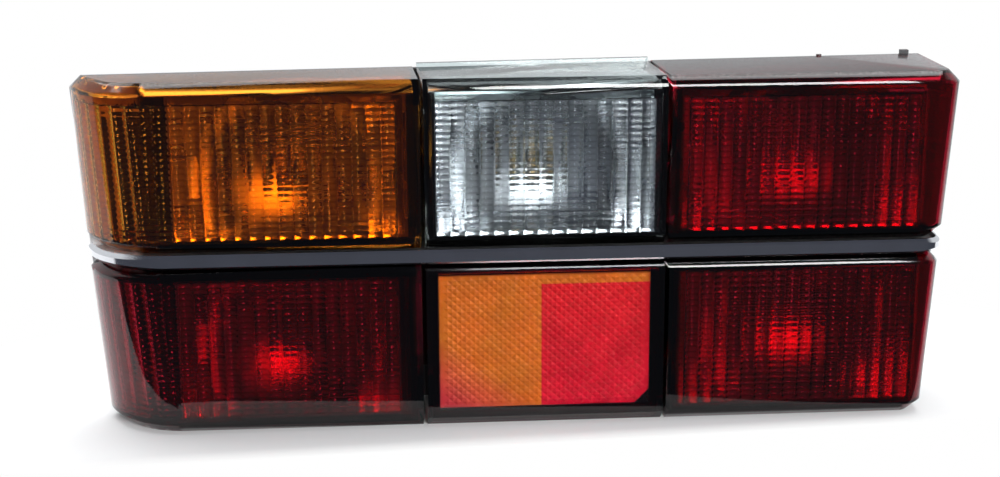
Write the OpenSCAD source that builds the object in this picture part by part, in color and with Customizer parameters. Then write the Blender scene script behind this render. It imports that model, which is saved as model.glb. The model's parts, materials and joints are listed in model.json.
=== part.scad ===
// Six-cell tail light cluster: two rows of three lenses that wrap round one corner of a car.
// Millimetres. X runs along the car's width, -Y faces the viewer and +Z is up.
// The origin is the middle of the stud pattern, on the plane where the gasket meets the car's body.

/* [Overall] */
// Width of the cluster along its face, at the top edge
cluster_w = 427; // [400:1:460]
// Height of the upper row of lenses
upper_row_h = 82; // [76:1:92]
// Height of the lower row of lenses
lower_row_h = 83; // [76:1:92]
// Gap between the two rows, which the trim strip closes
row_gap = 7.4; // [6.5:0.1:9]
// Height of the gap's middle above the middle of the cluster
row_gap_z = 0.5; // [-2:0.1:2]
// Angle of the face against the mounting plane, seen from above
face_sweep = 3.75; // [0:0.25:5]
// Distance from the face to the lens rims, in the middle
face_depth = 44; // [42:0.5:52]

/* [Ends] */
// Plan radius where the outer end wraps round the car's corner
outer_corner_r = 38; // [34:1:42]
// Plan radius of the inner end
inner_corner_r = 9; // [8.5:0.5:12]
// Lean of the outer end of the upper row
upper_outer_lean = 2.7; // [0:0.1:5]
// Lean of the outer end of the lower row
lower_outer_lean = 4.2; // [0:0.1:6]
// Lean of the inner end of both rows
inner_lean = 3.7; // [0:0.1:5]

/* [Lenses] */
// Wall of the moulded lenses
lens_wall = 2.6; // [2:0.1:3.2]
// Sloping edge round the face of each row
lens_bevel = 4.9; // [4:0.1:5.2]
// Seam between the outer and the middle lenses, as a share of the width
outer_seam_share = 0.3937; // [0.37:0.0001:0.41]
// Seam between the middle and the inner lenses, as a share of the width
inner_seam_share = 0.6684; // [0.65:0.0001:0.69]
// Width of a seam between two lenses
seam_gap = 2; // [1:0.1:3]
// Pitch of the upright flutes inside the lenses
flute_pitch = 7; // [6:0.5:9]
// Height of a flute above the lens wall
flute_h = 1.2; // [0.5:0.1:1.5]
// Number of flutes in an outer lens
outer_flutes = 17; // [14:1:18]
// Border between the flutes of the outer lenses and the wall at their inner side
flute_border = 8.6; // [7:0.1:12]
// Border between the flutes of the inner lenses and their walls
inner_flute_border = 3.4; // [2.5:0.1:6]
// Least border between the flutes of the middle lens and its walls
middle_flute_border = 0.4; // [0.2:0.1:2]
// Height of the lip on top of the middle lens, along its rear edge
lip_h = 1.9; // [1:0.1:2.5]
// Width of that lip
lip_w = 3; // [2:0.5:5]

/* [Trim strip] */
// Height of the trim strip
strip_h = 7; // [5.5:0.1:7]
// Thickness of the trim strip
strip_t = 2; // [1.5:0.1:2.5]
// Sloping edge of the trim strip
strip_bevel = 1.1; // [0.6:0.1:1.4]
// Thickness of the housing rib behind the strip
rib_t = 3.2; // [2.4:0.1:4]

/* [Reflex reflector] */
// Thickness of the reflector plate
reflex_t = 3.2; // [2.8:0.1:4]
// Pitch of its prisms up the plate
prism_pitch = 3.5; // [3:0.5:5]
// Pitch of its prisms along the plate
prism_step = 7; // [5:0.5:9]
// Depth of the grooves between the prisms
prism_depth = 0.95; // [0.6:0.05:1.2]
// Cut corner of the plate
reflex_cut = 7; // [4:0.5:9]

/* [Housing] */
// Thickness of the flange that the lenses are bonded to
flange_t = 3; // [2.5:0.1:4]
// Distance from the lens outline in to the flange's edge
flange_inset = 0.8; // [0.5:0.1:2]
// Distance from the lens outline in to the outside of the housing walls
box_inset = 15; // [14:0.5:18]
// Depth of the housing behind the mounting plane
box_depth = 12; // [11:0.5:18]
// Wall of the housing
box_wall = 2.6; // [2:0.1:3.2]
// Corner radius of the housing walls
box_corner_r = 10; // [4:1:14]
// Thickness of the gasket
gasket_t = 4; // [3:0.5:5]
// Width of the gasket
gasket_w = 11; // [10:0.5:12]
// Width of the locating tab on top of the flange
tab_w = 4; // [3:0.5:6]
// Height of the tab above the flange
tab_h = 2.6; // [1.5:0.1:4]
// Distance from the inner end of the cluster in to the tab
tab_inset = 6.5; // [6:0.5:12]

/* [Lamps] */
// Middle of the amber and the tail lamp, as a share of the width
outer_lamp_share = 0.2494; // [0.24:0.0001:0.26]
// Middle of the inner lamps, as a share of the width
inner_lamp_share = 0.8302; // [0.82:0.0001:0.84]
// Distance from the middle of the upper row down to its lamps
upper_lamp_drop = 6.7; // [5:0.1:8]
// Distance from the middle of the lower row up to its lamps
lower_lamp_rise = 1.2; // [0:0.1:2]
// Outer end wall of the outer trays, as a share of the width
outer_tray_share = 0.1159; // [0.11:0.0001:0.13]
// Clearance between a tray and its lens
tray_gap = 3.2; // [2.4:0.1:5]
// Wall of the trays
tray_wall = 1.6; // [1.2:0.1:2]
// Distance from the inside of a lens to the front edge of its tray
tray_setback = 3; // [2:0.5:8]
// Flat floor of the trays, in front of the mounting plane
tray_floor = 27; // [24:1:30]
// Radius of the round dish in the trays
dish_r = 58; // [56:1:62]
// Distance from the mounting plane to the bottom of the dish
dish_front = 4; // [3.5:0.5:6]
// Radius of the hole for the bulb
bulb_hole_r = 15; // [14:0.5:16]

/* [Bulbs] */
// Radius of the bulb's glass
bulb_r = 12.5; // [11:0.1:13.5]
// Distance from the mounting plane to the middle of the glass
bulb_front = 11; // [6:0.5:14]
// Radius of the metal cap
cap_r = 7.5; // [7.3:0.1:7.8]
// Length of the metal cap
cap_len = 18; // [16:0.5:20]
// Length of the glass neck between the ball and the cap
neck_len = 21; // [18:0.5:24]
// Wall of the bulb sockets
socket_wall = 0.8; // [0.6:0.1:1]
// Length of the bulb sockets
socket_len = 20; // [17:0.5:24]

/* [Bulb carrier] */
// Thickness of the carrier plate
carrier_t = 2.4; // [2:0.1:3]
// Reach of the carrier plate beyond the outer lamps
carrier_outer_reach = 48; // [40:0.5:52]
// Reach of the carrier plate beyond the inner lamps
carrier_inner_reach = 14; // [13.5:0.5:18]
// Reach of the carrier plate above the upper lamps
carrier_top_reach = 24; // [16:0.5:26]
// Reach of the carrier plate below the lower lamps
carrier_bottom_reach = 18; // [16:0.5:22]
// Thickness of the foam ring under the carrier
carrier_seal_t = 3; // [2:0.5:4]
// Height of the stiffening rim round the carrier
carrier_rim_h = 5; // [4:0.5:8]
// Radius of the knurled carrier screws
knob_r = 9; // [8:0.5:11]
// Distance from the ends of the carrier in to its screws
knob_inset = 15; // [13:0.5:18]

/* [Mounting] */
// Distance from the ends of the cluster in to the studs
stud_end_inset = 63.5; // [55:0.5:75]
// Distance from the top and bottom edges in to the studs
stud_edge_inset = 8.2; // [7.5:0.1:9]
// Radius of a stud
stud_r = 2.5; // [2:0.5:3]
// Length of a stud behind the mounting plane
stud_len = 20; // [14:1:30]
// Radius of the plain collar that carries a stud through the gasket
stud_collar_r = 3.5; // [3:0.1:4]

/* [Hidden] */
$fn = 96;

// Heights of the two rows, of the gap between them and of the whole
gap_top = row_gap_z + row_gap / 2;
gap_bottom = row_gap_z - row_gap / 2;
top_z = gap_top + upper_row_h;
bottom_z = gap_bottom - lower_row_h;
half_w = cluster_w / 2;

// Places along X, from the outer end of the face
function at_share(share) = -half_w + share * cluster_w;
outer_seam_x = at_share(outer_seam_share);
inner_seam_x = at_share(inner_seam_share);
outer_lamp_x = at_share(outer_lamp_share);
inner_lamp_x = at_share(inner_lamp_share);
clear_lamp_x = (outer_seam_x + inner_seam_x) / 2;
outer_tray_x = at_share(outer_tray_share);
upper_lamp_z = (gap_top + top_z) / 2 - upper_lamp_drop;
lower_lamp_z = (gap_bottom + bottom_z) / 2 + lower_lamp_rise;

// Planes along Y
flange_back = -gasket_t;
rim_y = flange_back - flange_t;
face_y = rim_y - face_depth;

// A row is [bottom, top, lean of the outer end, plain border below the flutes, and above them]
UPPER = [gap_top, top_z, upper_outer_lean, 6.2, 10.2];
LOWER = [bottom_z, gap_bottom, lower_outer_lean, 8.2, 6.8];
STRIP = [row_gap_z - strip_h / 2, row_gap_z + strip_h / 2, upper_outer_lean];

// Reach that is longer than anything it cuts
far = 600;
// Depth by which one form of a piece runs into another, and by which a cut runs out of it
bite = 1;
// Room between parts that slide into each other
slide_clear = 0.15;
// Offset of a 45 degree corner for each millimetre of wall
mitre = tan(22.5);
// Room by which a cutting body stands clear outside what it cuts
clear_out = 6;
// Extra radius of the sloping edges at the corners, where they broaden a little
edge_spread = 2.5;
outer_edge_r = outer_corner_r + edge_spread;
inner_edge_r = inner_corner_r + edge_spread;

// Where the outer and the inner end of the face lie at height z
function outer_end(z) =
    z > row_gap_z
        ? -half_w + (top_z - z) * tan(upper_outer_lean)
        : -half_w + (top_z - row_gap_z) * tan(upper_outer_lean) + (row_gap_z - z) * tan(lower_outer_lean);
function inner_end(z) = half_w - (top_z - z) * tan(inner_lean);

// Coordinates along the face: X along it, Y square to it into the lamp
module on_face() {
    translate([0, face_y, 0]) rotate([0, 0, -face_sweep]) children();
}

// Slab between two distances behind the face
module behind_face(v0, v1) {
    on_face() translate([-far / 2, v0, -far / 2]) cube([far, v1 - v0, far]);
}

// End of a row: everything inboard of a leaning end with a round front corner, inset by t
module end_prism(r, t, lean, z) {
    corner = max(r - t, 1.5);
    translate([0, 0, z]) rotate([0, -lean, 0]) translate([0, 0, -far / 2])
        linear_extrude(far) union() {
            translate([t + corner, t]) square([far, far / 2]);
            translate([t, t + corner]) square([far, far / 2]);
            translate([t + corner, t + corner]) circle(corner);
        }
}

// Section under the sloping top edge of a row, as points of (distance inside the outline, height)
function roof_section(z, b, t, reach) = [
    [-clear_out, -far],
    [-clear_out, z - b - mitre * t - t - clear_out],
    [b + mitre * t, z - t],
    [reach, z - t],
    [reach, -far]
];

// Everything under the sloping top edge at height z, which follows the row's outline
module roof(z, b, t, left, right) {
    rotate([90, 0, 90]) translate([0, 0, left + outer_edge_r])
        linear_extrude(right - inner_edge_r - left - outer_edge_r) polygon(roof_section(z, b, t, far / 2));
    translate([left, 0, 0]) roof_corner(z, b, t, outer_edge_r);
    translate([right, 0, 0]) mirror([1, 0, 0]) roof_corner(z, b, t, inner_edge_r);
}

module roof_corner(z, b, t, r) {
    translate([r, r, 0]) rotate([0, 0, 180]) rotate_extrude(angle = 90)
        polygon([for (p = roof_section(z, b, t, r)) [r - p[0], p[1]]]);
    translate([0, far / 2, 0]) rotate([90, 0, 0])
        linear_extrude(far / 2 - r) polygon(roof_section(z, b, t, r));
}

// Everything inboard of the outer end of a row, and of its inner end, behind the face inset by t
module past_outer_end(row, t) {
    translate([outer_end(row[1]), 0, 0]) end_prism(outer_corner_r, t, row[2], row[1]);
}

module before_inner_end(row, t) {
    translate([inner_end(row[1]), 0, 0]) mirror([1, 0, 0]) end_prism(inner_corner_r, t, inner_lean, row[1]);
}

// Solid form of a whole row, inset by t on every side, with edges sloping by b
module row_body(row, b, t) {
    on_face() intersection() {
        past_outer_end(row, t);
        before_inner_end(row, t);
        roof(row[1], b, t, outer_end(row[1]), inner_end(row[1]));
        mirror([0, 0, 1]) roof(-row[0], b, t, outer_end(row[0]), inner_end(row[0]));
    }
}

// Slab between two values of x and of y
module slab(x0, x1, y0, y1) {
    translate([x0, y0, -far / 2]) cube([x1 - x0, y1 - y0, far]);
}

// Upright flutes on the inside of a lens, from x0 to x1 and from z0 to z1
module flutes(x0, x1, z0, z1) {
    count = floor((x1 - x0) / flute_pitch);
    start = (x0 + x1 - count * flute_pitch) / 2;
    flute_r = (pow(flute_pitch / 2, 2) + pow(flute_h, 2)) / (2 * flute_h);
    root = 0.3;
    web = 0.05;
    on_face() translate([0, lens_wall, z0]) linear_extrude(z1 - z0)
        union() {
            translate([start, -root]) square([count * flute_pitch, root + web]);
            for (i = [0 : count - 1])
                intersection() {
                    translate([start + (i + 0.5) * flute_pitch, flute_h - flute_r]) circle(flute_r);
                    translate([start + i * flute_pitch, -root]) square([flute_pitch, flute_h + 2 * root]);
                }
        }
}

// One lens of a row: a shell that is open at the back, between two values of x
module lens(row, x0, x1) {
    outer_side = x0 < outer_seam_x ? -far : x0;
    inner_side = x1 > inner_seam_x ? far : x1;
    difference() {
        intersection() {
            row_body(row, lens_bevel, 0);
            slab(outer_side, inner_side, -far / 2, rim_y);
        }
        intersection() {
            row_body(row, lens_bevel, lens_wall);
            slab(outer_side + lens_wall, inner_side - lens_wall, -far / 2, rim_y + bite);
        }
    }
}

// Lens with flutes over the part that its lamp lights
module fluted_lens(row, x0, x1, lit_x0, lit_x1) {
    lens(row, x0, x1);
    flutes(lit_x0, lit_x1, row[0] + row[3], row[1] - row[4]);
}

left_of_middle = outer_seam_x - seam_gap / 2;
middle_left = outer_seam_x + seam_gap / 2;
middle_right = inner_seam_x - seam_gap / 2;
right_of_middle = inner_seam_x + seam_gap / 2;
inner_lit_x = inner_end(bottom_z) - lens_wall - inner_flute_border;

module outer_lens(row) {
    lit_x1 = left_of_middle - lens_wall - flute_border;
    fluted_lens(row, -far, left_of_middle, lit_x1 - outer_flutes * flute_pitch, lit_x1);
}

module middle_lens(row) {
    border = lens_wall + middle_flute_border;
    fluted_lens(row, middle_left, middle_right, middle_left + border, middle_right - border);
}

module inner_lens(row) {
    fluted_lens(row, right_of_middle, far, right_of_middle + lens_wall + inner_flute_border, inner_lit_x);
}

module amber_lens() {
    color([0.85, 0.35, 0.05]) outer_lens(UPPER);
}

// Raised bar on top of a lens along its rear edge, from x0 to x1
module rear_bar(x0, x1, w, h) {
    translate([x0, rim_y - w, top_z - lens_wall / 2]) cube([x1 - x0, w, h + lens_wall / 2]);
}

module clear_lens() {
    color([0.85, 0.9, 0.92]) {
        middle_lens(UPPER);
        rear_bar(middle_left, middle_right, lip_w, lip_h);
    }
}

// The upper red lens keeps the stub of its moulding gate
module upper_red_lens() {
    gate = [2.4, 1.4, 0.9];
    gate_x = (middle_right + half_w) / 2 + 16;
    color([0.6, 0.03, 0.05]) {
        inner_lens(UPPER);
        rear_bar(gate_x, gate_x + gate[0], gate[1], gate[2]);
    }
}

module lower_outer_red_lens() {
    color([0.6, 0.03, 0.05]) outer_lens(LOWER);
}

module reflex_lens() {
    color([0.6, 0.03, 0.05]) lens(LOWER, middle_left, middle_right);
}

module lower_inner_red_lens() {
    color([0.6, 0.03, 0.05]) inner_lens(LOWER);
}

// Bright strip that follows the face and wraps both ends
module trim_strip() {
    color([0.75, 0.77, 0.8]) difference() {
        intersection() {
            row_body(STRIP, strip_bevel, 0);
            slab(-far, far, -far / 2, rim_y - seam_gap);
        }
        on_face() intersection() {
            past_outer_end(STRIP, strip_t);
            before_inner_end(STRIP, strip_t);
        }
    }
}

// Where the end of the face comes out on the plane y = rim_y
function at_rim(u) = u / cos(face_sweep) + (rim_y - face_y) * tan(face_sweep);
RIM_CORNERS = [
    [at_rim(outer_end(top_z)), top_z],
    [at_rim(outer_end(bottom_z)), bottom_z],
    [at_rim(inner_end(bottom_z)), bottom_z],
    [at_rim(inner_end(top_z)), top_z]
];

// Edge points of a rounded four-sided outline, where its straight sides meet its corner arcs
function side_points(c, r) = [
    for (i = [0 : 3])
        let (a = c[i], b = c[(i + 1) % 4], d = (b - a) / norm(b - a), n = [d[1], -d[0]])
            each [a + n * r, b + n * r]
];

// Rounded outline in the XZ plane, inset by t from the lens rims
module rim_outline(t) {
    centre_in = box_inset + box_corner_r;
    r = centre_in - t;
    c = [for (p = RIM_CORNERS) [p[0] - sign(p[0]) * centre_in, p[1] - sign(p[1]) * centre_in]];
    polygon(side_points(c, r));
    for (p = c) translate(p) circle(r);
}

// Outline of the flange: the lens rims' own outline with its corners cut
module flange_outline() {
    t = flange_inset;
    b = lens_bevel;
    polygon([
        for (p = RIM_CORNERS)
            let (x = p[0] - sign(p[0]) * t, z = p[1] - sign(p[1]) * t, sx = sign(p[0]), sz = sign(p[1]))
                each (sx * sz < 0
                    ? [[x - sx * b, z], [x, z - sz * b]]
                    : [[x, z - sz * b], [x - sx * b, z]])
    ]);
}

// Prism along Y between two planes over a 2D outline in XZ
module along_y(y0, y1) {
    translate([0, y1, 0]) rotate([90, 0, 0]) linear_extrude(y1 - y0) children();
}

module stud_places() {
    for (x = [-half_w + stud_end_inset, half_w - stud_end_inset])
        for (z = [bottom_z + stud_edge_inset, top_z - stud_edge_inset])
            translate([x, 0, z]) children();
}

// Names of the lit lamps with their places
OUTER_UP = [outer_lamp_x, upper_lamp_z];
CLEAR_UP = [clear_lamp_x, upper_lamp_z];
INNER_UP = [inner_lamp_x, upper_lamp_z];
OUTER_LOW = [outer_lamp_x, lower_lamp_z];
INNER_LOW = [inner_lamp_x, lower_lamp_z];
LAMPS = [OUTER_UP, CLEAR_UP, INNER_UP, OUTER_LOW, INNER_LOW];

module at_lamp(lamp) {
    translate([lamp[0], 0, lamp[1]]) children();
}

// Cylinder along +Y from y0 to y1
module rod_y(r, y0, y1) {
    translate([0, y0, 0]) rotate([-90, 0, 0]) cylinder(h = y1 - y0, r = r);
}

// Planes of the parts at the back
rear_wall_y = box_depth - box_wall;
seal_back = box_depth + carrier_seal_t;
carrier_back = seal_back + carrier_t;
carrier_x0 = outer_lamp_x - carrier_outer_reach;
carrier_x1 = inner_lamp_x + carrier_inner_reach;
carrier_z0 = lower_lamp_z - carrier_bottom_reach;
carrier_z1 = upper_lamp_z + carrier_top_reach;
knob_shank_r = 3;
knob_boss_wall = 3;
knob_boss_len = 8;
knob_hole_len = 6;
knob_shank_end = 5;
KNOBS = [carrier_x0 + knob_inset, carrier_x1 - knob_inset];

// Extra radius of the openings in the housing, round the collars of the trays
bulb_hole_clear = 1;
// Plastic left over the heads of the studs
stud_cover = 1;
// Room between the ends of the rib and the housing walls, at the outer and the inner end
rib_end_in = [8, 4];

module housing() {
    color([0.32, 0.32, 0.33]) difference() {
        union() {
            difference() {
                along_y(rim_y, flange_back) flange_outline();
                along_y(rim_y - bite, flange_back + bite) rim_outline(box_inset + box_wall);
            }
            difference() {
                along_y(flange_back, box_depth) rim_outline(box_inset);
                along_y(flange_back - bite, rear_wall_y) rim_outline(box_inset + box_wall);
            }
            rib();
            locating_tab();
            for (x = KNOBS)
                translate([x, 0, row_gap_z])
                    rod_y(knob_shank_r + knob_boss_wall, rear_wall_y - knob_boss_len, box_depth - bite);
        }
        for (lamp = LAMPS)
            at_lamp(lamp) rod_y(bulb_hole_r + bulb_hole_clear, rear_wall_y - bite, box_depth + bite);
        for (x = KNOBS)
            translate([x, 0, row_gap_z]) rod_y(knob_shank_r, rear_wall_y - knob_hole_len, box_depth + bite);
        stud_places() rod_y(stud_collar_r, rim_y + stud_cover, flange_back + bite);
    }
}

// Level rib that stands out between the two rows and carries the trim strip
module rib() {
    inset = strip_t + slide_clear;
    intersection() {
        on_face() intersection() {
            translate([outer_end(row_gap_z), 0, 0]) end_prism(outer_corner_r, inset, 0, 0);
            translate([inner_end(row_gap_z), 0, 0]) mirror([1, 0, 0]) end_prism(inner_corner_r, inset, 0, 0);
            translate([-far / 2, 0, row_gap_z - rib_t / 2]) cube([far, far / 2, rib_t]);
        }
        union() {
            slab(-far, far, -far / 2, rim_y + bite);
            slab(-half_w + box_inset + rib_end_in[0], half_w - box_inset - rib_end_in[1], -far / 2,
                box_depth - bite);
        }
    }
}

// Tab on top of the flange that finds its notch in the car's body
module locating_tab() {
    translate([half_w - tab_inset - tab_w, rim_y, top_z - flange_inset - bite])
        cube([tab_w, flange_t, tab_h + bite]);
}

// Upright box between two corners [x, z] and two values of y
module room(low, high, y0, y1) {
    translate([low[0], y0, low[1]]) cube([high[0] - low[0], y1 - y0, high[1] - low[1]]);
}

// Room between a tray and the housing
tray_clear = 0.4;
// Length of a tray's collar in front of the bottom of its dish
collar_len = 6;

// Space that a tray may take: all of it in front of the flange, and the inside of the housing walls
module tray_space() {
    slab(-far, far, -far / 2, rim_y - tray_clear);
    along_y(rim_y - tray_clear - bite, rear_wall_y) rim_outline(box_inset + box_wall + tray_clear);
}

// Metallised tray: side walls, flat floor and a round dish, with a collar that stands on the housing
module tray(lamp, row, x0, x1) {
    low = [x0, row[0] + lens_wall + tray_gap];
    high = [x1, row[1] - lens_wall - tray_gap];
    low_in = [low[0] + tray_wall, low[1] + tray_wall];
    high_in = [high[0] - tray_wall, high[1] - tray_wall];
    dish_y = -dish_front - dish_r;
    difference() {
        union() {
            intersection() {
                room(low, high, -far / 2, -tray_floor + tray_wall);
                behind_face(lens_wall + tray_setback, far);
            }
            intersection() {
                at_lamp(lamp) translate([0, dish_y, 0]) sphere(dish_r + tray_wall);
                room(low, high, -tray_floor, box_depth);
                tray_space();
            }
            at_lamp(lamp) rod_y(bulb_hole_r + tray_wall, -dish_front - collar_len, rear_wall_y);
        }
        room(low_in, high_in, -far / 2, -tray_floor);
        intersection() {
            at_lamp(lamp) translate([0, dish_y, 0]) sphere(dish_r);
            room(low_in, high_in, -far / 2, box_depth);
        }
        at_lamp(lamp) rod_y(bulb_hole_r, -dish_front - dish_r / 2, box_depth);
    }
}

tray_side = lens_wall + tray_gap;
inner_tray_x = inner_end(bottom_z) - lens_wall - tray_gap;

module amber_tray() {
    color([0.8, 0.8, 0.8]) tray(OUTER_UP, UPPER, outer_tray_x, left_of_middle - tray_side);
}

module reversing_tray() {
    color([0.8, 0.8, 0.8]) tray(CLEAR_UP, UPPER, middle_left + tray_side, middle_right - tray_side);
}

module upper_red_tray() {
    color([0.8, 0.8, 0.8]) tray(INNER_UP, UPPER, right_of_middle + tray_side, inner_tray_x);
}

module tail_tray() {
    color([0.8, 0.8, 0.8]) tray(OUTER_LOW, LOWER, outer_tray_x, left_of_middle - tray_side);
}

module brake_tray() {
    color([0.8, 0.8, 0.8]) tray(INNER_LOW, LOWER, right_of_middle + tray_side, inner_tray_x);
}

// Reflex reflector: a plate of prisms with one cut corner, close behind its lens
reflex_x0 = middle_left + lens_wall + 3.2;
reflex_x1 = middle_right - lens_wall - 4;
reflex_z0 = bottom_z + lens_wall + 6.6;
reflex_z1 = gap_bottom - lens_wall - 3.4;
// Distances behind the face of the plate's front and rear, and of the rear of the plate behind it
reflex_v0 = lens_wall + 0.3;
reflex_v1 = reflex_v0 + reflex_t;
backing_t = 2.2;
// Border of the reflector outside the prisms
prism_border = 3;

module reflex_outline() {
    polygon([
        [reflex_x0, reflex_z0],
        [reflex_x1 - reflex_cut, reflex_z0],
        [reflex_x1, reflex_z0 + reflex_cut],
        [reflex_x1, reflex_z1],
        [reflex_x0, reflex_z1]
    ]);
}

// Row of V grooves of a given length, every pitch over the given span
module v_grooves(span, pitch, length) {
    side = prism_depth * sqrt(2);
    for (at = [pitch / 2 : pitch : span])
        translate([at, 0, 0]) rotate([0, 0, 45]) cube([side, side, length], center = true);
}

module reflex_insert() {
    span_x = reflex_x1 - reflex_x0 - 2 * prism_border;
    span_z = reflex_z1 - reflex_z0 - 2 * prism_border;
    color([0.9, 0.2, 0.12]) difference() {
        intersection() {
            along_y(-far / 2, 0) reflex_outline();
            behind_face(reflex_v0, reflex_v1);
        }
        on_face() translate([reflex_x0 + prism_border, reflex_v1, reflex_z0 + prism_border + span_z / 2])
            v_grooves(span_x, prism_step, far);
        on_face() translate([reflex_x0 + prism_border + span_x / 2, reflex_v1, reflex_z0 + prism_border])
            rotate([0, -90, 0]) v_grooves(span_z, prism_pitch, far);
    }
}

// Plate and skirt behind the reflex insert, standing on the housing's rear wall
module reflex_backing() {
    skirt = 2;
    color([0.7, 0.7, 0.68]) difference() {
        union() {
            intersection() {
                along_y(-far / 2, 0) reflex_outline();
                behind_face(reflex_v1, reflex_v1 + backing_t);
            }
            intersection() {
                along_y(-far / 2, rear_wall_y) reflex_legs(0);
                behind_face(reflex_v1, far / 2);
            }
        }
        intersection() {
            along_y(-far / 2, box_depth) reflex_legs(skirt);
            behind_face(reflex_v1 + backing_t, far / 2);
        }
    }
}

module reflex_legs(inset) {
    leg_border = 14;
    z0 = reflex_z0 + leg_border + inset;
    translate([reflex_x0 + leg_border + inset, z0])
        square([reflex_x1 - reflex_x0 - 2 * (leg_border + inset), reflex_z1 - leg_border - inset - z0]);
}

// Bayonet bulb: ball and neck of glass in a metal cap
cap_front = -bulb_front + neck_len;
cap_back = cap_front + cap_len;
socket_front = cap_back - socket_len;
neck_in = 0.6;
cap_tip_r = 2.4;
cap_tip = 1.4;

module bulb(lamp) {
    color([0.9, 0.9, 0.88]) at_lamp(lamp) {
        translate([0, -bulb_front, 0]) sphere(bulb_r);
        rod_y(cap_r - neck_in, -bulb_front, cap_front);
        rod_y(cap_r, cap_front, cap_back);
        rod_y(cap_tip_r, cap_back, cap_back + cap_tip);
    }
}

module amber_bulb() {
    bulb(OUTER_UP);
}

module reversing_bulb() {
    bulb(CLEAR_UP);
}

module upper_red_bulb() {
    bulb(INNER_UP);
}

module tail_bulb() {
    bulb(OUTER_LOW);
}

module brake_bulb() {
    bulb(INNER_LOW);
}

// Sheet metal sleeve with a collar that seats on the carrier
socket_r = cap_r + slide_clear + socket_wall;
socket_rim_w = 2.2;
socket_rim_t = 1;

module socket(lamp) {
    color([0.72, 0.7, 0.62]) at_lamp(lamp) difference() {
        union() {
            rod_y(socket_r, socket_front, cap_back);
            rod_y(socket_r + socket_rim_w, carrier_back, carrier_back + socket_rim_t);
        }
        rod_y(cap_r + slide_clear, socket_front - bite, cap_back + bite);
    }
}

module amber_socket() {
    socket(OUTER_UP);
}

module reversing_socket() {
    socket(CLEAR_UP);
}

module upper_red_socket() {
    socket(INNER_UP);
}

module tail_socket() {
    socket(OUTER_LOW);
}

module brake_socket() {
    socket(INNER_LOW);
}

// Corner radius of the carrier plate
plate_r = 14;

// Rounded plate outline in XZ, inset by t
module plate_outline(t) {
    w = carrier_x1 - carrier_x0 - 2 * t;
    h = carrier_z1 - carrier_z0 - 2 * t;
    translate([carrier_x0 + t, carrier_z0 + t])
        union() {
            translate([plate_r, 0]) square([w - 2 * plate_r, h]);
            translate([0, plate_r]) square([w, h - 2 * plate_r]);
            for (x = [plate_r, w - plate_r], z = [plate_r, h - plate_r])
                translate([x, z]) circle(plate_r);
        }
}

// Strips run on bosses of the carrier behind the caps
spring_floor = 1.2;
strip_front = cap_back + cap_tip + spring_floor;
contact_t = 0.8;
boss_r = 3.2;
strip_overhang = 12;
UPPER_BOSSES = [(outer_lamp_x + clear_lamp_x) / 2, (clear_lamp_x + inner_lamp_x) / 2];
LOWER_BOSSES = [(2 * outer_lamp_x + inner_lamp_x) / 3, (outer_lamp_x + 2 * inner_lamp_x) / 3];
connector_x = clear_lamp_x;
connector_z = row_gap_z;
connector_w = 44;
connector_h = 18;
connector_depth = 22;

// Length of the guides round the sockets in front of the plate
socket_guide = 1.5;
// Room round the shanks of the carrier screws
knob_clear = 0.3;

module bulb_carrier() {
    color([0.78, 0.78, 0.75]) difference() {
        union() {
            along_y(seal_back, carrier_back) plate_outline(0);
            difference() {
                along_y(carrier_back - bite, carrier_back + carrier_rim_h) plate_outline(0);
                along_y(carrier_back - 2 * bite, carrier_back + carrier_rim_h + bite) plate_outline(carrier_t);
            }
            for (x = UPPER_BOSSES)
                translate([x, 0, upper_lamp_z]) rod_y(boss_r, carrier_back - bite, strip_front);
            for (x = LOWER_BOSSES)
                translate([x, 0, lower_lamp_z]) rod_y(boss_r, carrier_back - bite, strip_front);
            for (lamp = LAMPS)
                at_lamp(lamp) rod_y(socket_r + socket_rim_w, seal_back - socket_guide, carrier_back);
        }
        for (lamp = LAMPS)
            at_lamp(lamp) rod_y(socket_r, seal_back - socket_guide - bite, carrier_back + bite);
        for (x = KNOBS)
            translate([x, 0, row_gap_z]) rod_y(knob_shank_r + knob_clear, seal_back - bite, carrier_back + bite);
    }
}

module carrier_seal() {
    seal_w = 5;
    seal_inset = 0.5;
    color([0.1, 0.1, 0.1]) difference() {
        along_y(box_depth, seal_back) plate_outline(seal_inset);
        along_y(box_depth - bite, seal_back + bite) plate_outline(seal_inset + seal_w);
    }
}

// Knurled screws with a shank that ends in the housing's bosses
module carrier_knobs() {
    knob_h = 10;
    grooves = 18;
    groove_r = 1;
    groove_out = 0.4;
    plain_rim = 2;
    color([0.15, 0.15, 0.15])
        for (x = KNOBS)
            translate([x, 0, row_gap_z]) {
                rod_y(knob_shank_r, rear_wall_y - knob_shank_end, carrier_back + bite);
                difference() {
                    rod_y(knob_r, carrier_back, carrier_back + knob_h);
                    for (i = [0 : grooves - 1])
                        rotate([0, i * 360 / grooves, 0]) translate([knob_r + groove_out, 0, 0])
                            rod_y(groove_r, carrier_back + plain_rim, carrier_back + knob_h + bite);
                }
            }
}

// Spring tongues between the strips and the bulbs' rear contacts
module contact_springs() {
    spring_r = 4.4;
    spring_wall = 1.4;
    spring_t = 0.4;
    color([0.72, 0.5, 0.25])
        for (lamp = LAMPS)
            at_lamp(lamp) difference() {
                rod_y(spring_r, cap_back + cap_tip, strip_front);
                rod_y(spring_r - spring_wall, cap_back + cap_tip + spring_t, strip_front + bite);
            }
}

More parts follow.
